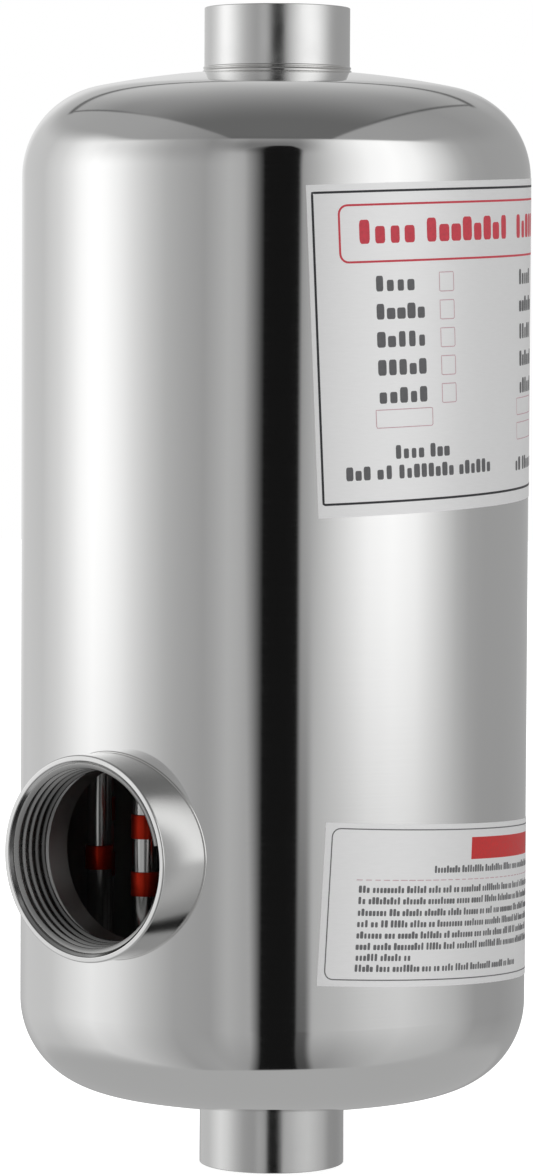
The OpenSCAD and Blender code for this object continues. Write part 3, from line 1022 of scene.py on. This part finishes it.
# light: a soft box all round the vessel, painted by direction
# across, near and up are a ray's direction as seen from the front, which is turned from -Y towards +X
frontAzimuth = 38
wallLight = {
    # each ring gives an angle from the front, in degrees, and the brightness there
    "middle": ((-180, 0.75), (-168, 0.82), (-158, 0.64), (-130, 0.61), (-114, 0.78), (-106, 0.94),
               (-98, 1.14), (-90, 1.25), (-82, 1.18), (-74, 1.02), (-66, 0.81), (-58, 0.64), (-50, 0.5),
               (-42, 0.43), (-32, 0.37), (-21, 0.5), (-16, 0.47), (-13, 0.41), (11, 0.34), (18, 0.5),
               (26, 0.72), (34, 0.92), (42, 1.1), (54, 1.19), (66, 1.08), (74, 0.88), (90, 0.5),
               (98, 0.4), (110, 0.37), (150, 0.38), (168, 0.42)),
    "lower": ((-180, 0.36), (-165, 0.48), (-150, 0.62), (-120, 0.63), (-105, 0.77), (-90, 0.9),
              (-75, 0.79), (-60, 0.56), (-45, 0.39), (-28, 0.35), (-20, 0.46), (-13, 0.41), (11, 0.47),
              (30, 0.5), (45, 0.6), (60, 0.65), (75, 0.58), (90, 0.5), (105, 0.34), (125, 0.32),
              (150, 0.36)),
    "foot": ((-180, 0.34), (-150, 0.4), (-120, 0.47), (-90, 0.58), (-75, 0.56), (-60, 0.46), (-45, 0.35),
             (-30, 0.39), (-13, 0.34), (11, 0.28), (30, 0.3), (60, 0.46), (90, 0.49), (120, 0.47),
             (150, 0.4)),
    "upper": ((-180, 0.62), (-165, 0.54), (-150, 0.43), (-120, 0.4), (-90, 0.39), (-75, 0.38),
              (-60, 0.35), (-40, 0.3), (-20, 0.25), (0, 0.2), (12, 0.28), (30, 0.36), (60, 0.37),
              (90, 0.35), (120, 0.33), (150, 0.37), (165, 0.48)),
    # where one ring gives way to the next, by height, and how much dimmer the high left is
    "middleToLower": (-0.02, -0.17), "lowerToFoot": (-0.2, -0.8), "dimLeft": 0.3, "dimLeftRise": (0.1, 0.45),
}


def rising(tree, value, low, high, shape="SMOOTHSTEP"):
    # 0 at low and 1 at high, which may be the smaller one
    return outOf(tree, "ShaderNodeMapRange", {0: value, 1: low, 2: high}, interpolation_type=shape)


def blendTo(tree, share, first, second):
    return outOf(tree, "ShaderNodeMix", {0: share, 2: first, 3: second}, data_type="FLOAT")


def dimmed(tree, level, share):
    return times(tree, level, minus(tree, 1.0, share))


def ringLight(tree, turn, stops):
    ramp = addNode(tree, "ShaderNodeValToRGB", {0: turn})
    ramp.color_ramp.interpolation = "LINEAR"
    made = ramp.color_ramp.elements
    made[1].position = 1.0
    for end in (0, 1):
        made[end].color = (stops[0][1],) * 3 + (1,)
    for degrees, level in stops[1:]:
        made.new((degrees + 180) / 360).color = (level,) * 3 + (1,)
    return ramp.outputs[0]


def paintWalls(tree, size, turn, across, near, up):
    # three rings round the vessel: level with it, just under the horizon and at its foot
    toLower = rising(tree, up, *size["middleToLower"])
    toFoot = rising(tree, up, *size["lowerToFoot"], "LINEAR")
    lower = blendTo(tree, toFoot, ringLight(tree, turn, size["lower"]), ringLight(tree, turn, size["foot"]))
    highLeft = times(tree, rising(tree, across, 0.0, -1.0, "LINEAR"), rising(tree, near, -0.3, 0.1),
                     rising(tree, up, *size["dimLeftRise"]), size["dimLeft"])
    return blendTo(tree, toLower, dimmed(tree, ringLight(tree, turn, size["middle"]), highLeft), lower)


overheadCard = {
    "start": 0.48, "startSlope": 0.2, "startBehind": 0.03, "blur": 0.02, "blurBehind": 0.07,
    "frontLevel": 0.148, "backLevel": 0.62, "frontToBack": (0.5, -1.4), "edgeBlur": 0.03,
    "halfWidth": 0.69, "flare": 0.12, "skew": 0.06, "aside": 0.02, "back": 1.58,
    "sideGap": 0.6, "sideGapWidth": 0.04, "sideGapFade": (0.6, -0.4), "backGap": 0.65,
    "backGapReach": (0.17, 0.03), "pastCorner": 0.1, "dimTips": 0.32, "tipReach": (0.15, 0.75),
}


def paintOverhead(tree, size, level, upper, across, near, up):
    # a card wider towards the back and dark towards the front, with a thin dark gap along its edges
    height = calc(tree, "MAXIMUM", up, 0.05)
    cardX, cardY = divided(tree, across, height), divided(tree, near, height)
    fromMiddle = calc(tree, "ABSOLUTE", plus(tree, cardX, times(tree, cardY, -size["skew"]), size["aside"]))
    sideEdge = plus(tree, fromMiddle, times(tree, cardY, size["flare"]), -size["halfWidth"])
    backEdge = plus(tree, times(tree, cardY, -1.0), -size["back"])
    edge = calc(tree, "MAXIMUM", sideEdge, backEdge)
    tips = rising(tree, fromMiddle, *size["tipReach"])
    tips = times(tree, tips, rising(tree, cardY, 0.0, -0.6), size["dimTips"])
    card = blendTo(tree, rising(tree, cardY, *size["frontToBack"]), size["frontLevel"], size["backLevel"])
    blur = size["edgeBlur"]
    sky = blendTo(tree, rising(tree, edge, blur, -blur), upper, dimmed(tree, card, tips))
    nearSide = rising(tree, calc(tree, "ABSOLUTE", sideEdge), size["sideGapWidth"], 0.0)
    nearBack = rising(tree, calc(tree, "ABSOLUTE", backEdge), *size["backGapReach"])
    fading = rising(tree, plus(tree, cardY, times(tree, cardX, -0.5)), *size["sideGapFade"])
    withinBack = rising(tree, backEdge, size["pastCorner"], 0.0)
    withinSide = rising(tree, sideEdge, size["pastCorner"], 0.0)
    sideGap = times(tree, nearSide, withinBack, fading, size["sideGap"])
    backGap = times(tree, nearBack, withinSide, size["backGap"])
    sky = dimmed(tree, sky, calc(tree, "MAXIMUM", sideGap, backGap))
    # it starts lower at the back, where its edge is softer too
    behind = rising(tree, near, 0.3, -0.2)
    blur = plus(tree, times(tree, behind, size["blurBehind"]), size["blur"])
    over = plus(tree, up, times(tree, near, -size["startSlope"]), times(tree, behind, -size["startBehind"]))
    overhead = rising(tree, over, minus(tree, size["start"], blur), plus(tree, blur, size["start"]))
    return blendTo(tree, overhead, level, sky)


floorLight = {
    "level": 0.435, "middle": (0.1, -1.0), "reach": (1.15, 1.6), "start": (-0.3, -0.4),
    "sideBlur": 0.3, "nearBlur": 0.015,
}


def onFloor(tree, size, across, near, up):
    # a long oval that reaches away behind the vessel, crisp at its near edge and soft at its sides
    depth = calc(tree, "MAXIMUM", times(tree, up, -1.0), 0.05)
    (middleX, middleY), (reachX, reachY) = size["middle"], size["reach"]
    floorX = divided(tree, plus(tree, divided(tree, across, depth), -middleX), reachX)
    floorY = divided(tree, plus(tree, divided(tree, near, depth), -middleY), reachY)
    reach = calc(tree, "SQRT", plus(tree, times(tree, floorX, floorX), times(tree, floorY, floorY)))
    blur = plus(tree, times(tree, rising(tree, floorY, 0.95, 0.5), size["sideBlur"]), size["nearBlur"])
    shrunk = plus(tree, reach, times(tree, blur, -1.0))
    inside = rising(tree, shrunk, plus(tree, blur, 1.0), minus(tree, 1.0, blur))
    return times(tree, inside, rising(tree, up, *size["start"]))


darkCard = {
    "level": 0.008, "middle": 0.04, "leftEdge": (-0.24, -0.09), "rightEdge": (0.2, 0.17),
    "rightwardsBelow": (0.07, 0.04), "roundFrom": 0.4, "roundTall": 0.115, "top": (0.515, 0.505),
    "footRise": (-0.2, -0.85), "narrowerAtFoot": 0.17, "haze": 0.78, "hazeEdge": (0.31, 0.24),
    "halo": 0.5, "haloAside": 0.08, "haloSides": (0.5, 0.1), "haloAbove": (0.7, 0.52),
    "haloBelow": (0.32, 0.5),
}


def paintDarkCard(tree, size, level, floorShare, across, near, up):
    # upright, with a round top, and a little narrower towards its foot
    arch = divided(tree, calc(tree, "MAXIMUM", plus(tree, up, -size["roundFrom"]), 0.0), size["roundTall"])
    narrow = calc(tree, "SQRT", calc(tree, "MAXIMUM", minus(tree, 1.0, times(tree, arch, arch)), 0.0001))
    footShare = rising(tree, up, *size["footRise"], "LINEAR")
    squeeze = plus(tree, times(tree, footShare, size["narrowerAtFoot"]), 1.0)
    middle = size["middle"]
    side = times(tree, plus(tree, divided(tree, plus(tree, across, -middle), narrow), middle), squeeze)
    below = rising(tree, up, *wallLight["middleToLower"])
    inside = []
    for (outer, inner), shift in zip((size["leftEdge"], size["rightEdge"]), size["rightwardsBelow"]):
        inside.append(rising(tree, side, plus(tree, times(tree, below, shift), outer), inner, "LINEAR"))
    # the lower part has a hazy right side, and a dim halo lies round the top
    haze = times(tree, rising(tree, side, *size["hazeEdge"]), below, size["haze"])
    upright = times(
        tree, rising(tree, near, 0.0, 0.05), minus(tree, 1.0, floorShare), rising(tree, up, *size["top"]))
    aside = calc(tree, "ABSOLUTE", plus(tree, across, size["haloAside"]))
    halo = times(
        tree, rising(tree, up, *size["haloAbove"]), rising(tree, up, *size["haloBelow"]),
        rising(tree, aside, *size["haloSides"]), rising(tree, near, 0.0, 0.3), size["halo"])
    share = times(tree, inside[0], calc(tree, "MAXIMUM", inside[1], haze), upright)
    return blendTo(tree, share, dimmed(tree, level, halo), size["level"])


fillForMatt = 0.75  # the share of plain light that matt surfaces get


def makeTent():
    world = bpy.data.worlds.new("tent")
    scene.world = world
    world.use_nodes = True
    tree = world.node_tree
    where = addNode(tree, "ShaderNodeTexCoord").outputs["Generated"]
    facing = outOf(tree, "ShaderNodeVectorRotate", {
        "Vector": where, "Angle": -math.radians(frontAzimuth)}, rotation_type="Z_AXIS")
    across, away, up = addNode(tree, "ShaderNodeSeparateXYZ", {0: facing}).outputs
    near = times(tree, away, -1.0)
    turn = plus(tree, divided(tree, calc(tree, "ARCTAN2", across, near), 2 * math.pi), 0.5)
    look = (across, near, up)
    level = paintWalls(tree, wallLight, turn, *look)
    level = paintOverhead(tree, overheadCard, level, ringLight(tree, turn, wallLight["upper"]), *look)
    floorShare = onFloor(tree, floorLight, *look)
    level = blendTo(tree, floorShare, level, floorLight["level"])
    level = paintDarkCard(tree, darkCard, level, floorShare, *look)
    # matt surfaces get some plain light, and the camera sees white
    path = addNode(tree, "ShaderNodeLightPath").outputs
    level = blendTo(tree, times(tree, path["Is Diffuse Ray"], fillForMatt), level, 1.0)
    level = blendTo(tree, path["Is Camera Ray"], level, 1.0)
    tree.links.new(level, tree.nodes["Background"].inputs["Color"])


makeTent()


# floor: a wide pale disc that clips to white for the camera and keeps a faint contact shadow
floorSize = {"radius": 4.0, "corners": 96, "glow": 0.75}


def makeFloor(size):
    material, tree, shader = newMaterial("paleFloor", (0.8, 0.8, 0.8), 0.9, 0.0)
    plain = shader.outputs[0]
    glow = outOf(tree, "ShaderNodeEmission", {"Strength": size["glow"]})
    glowing = outOf(tree, "ShaderNodeAddShader", {0: plain, 1: glow})
    seen = addNode(tree, "ShaderNodeLightPath").outputs["Is Camera Ray"]
    surface = outOf(tree, "ShaderNodeMixShader", {0: seen, 1: plain, 2: glowing})
    tree.links.new(surface, tree.nodes["Material Output"].inputs[0])
    mesh = bpy.data.meshes.new("floor")
    radius, angles = size["radius"], evenly(0, 2 * math.pi, size["corners"])
    rim = [(radius * math.cos(a), radius * math.sin(a), 0) for a in angles]
    mesh.from_pydata(rim, [], [list(range(size["corners"]))])
    mesh.materials.append(material)
    floor = bpy.data.objects.new("floor", mesh)
    scene.collection.objects.link(floor)
    floor.visible_glossy = False


makeFloor(floorSize)

# camera: aimed at the vessel's middle from three degrees above it
cameraPlace = {
    "azimuth": frontAzimuth, "elevation": 3.055, "roll": 0.297, "lens": 144.98,
    "distance": 1.3085, "aimHeight": 0.1596, "aside": -0.00218,
}


def makeCamera(size):
    azimuth, elevation = math.radians(size["azimuth"]), math.radians(size["elevation"])
    sideways = Vector((math.cos(azimuth), math.sin(azimuth), 0))
    flat = math.cos(elevation)
    outward = Vector((math.sin(azimuth) * flat, -math.cos(azimuth) * flat, math.sin(elevation)))
    camera = bpy.data.objects.new("camera", bpy.data.cameras.new("camera"))
    scene.collection.objects.link(camera)
    camera.data.lens = size["lens"]
    camera.data.clip_start = 50 * mm
    level = (-outward).to_track_quat("-Z", "Y").to_matrix().to_4x4()
    roll = Matrix.Rotation(math.radians(size["roll"]), 4, "Z")
    at = outward * size["distance"] + sideways * size["aside"] + Vector((0, 0, size["aimHeight"]))
    camera.matrix_world = Matrix.Translation(at) @ level @ roll
    scene.camera = camera


makeCamera(cameraPlace)
scene.view_settings.view_transform = "Standard"
print("light, floor and camera made")
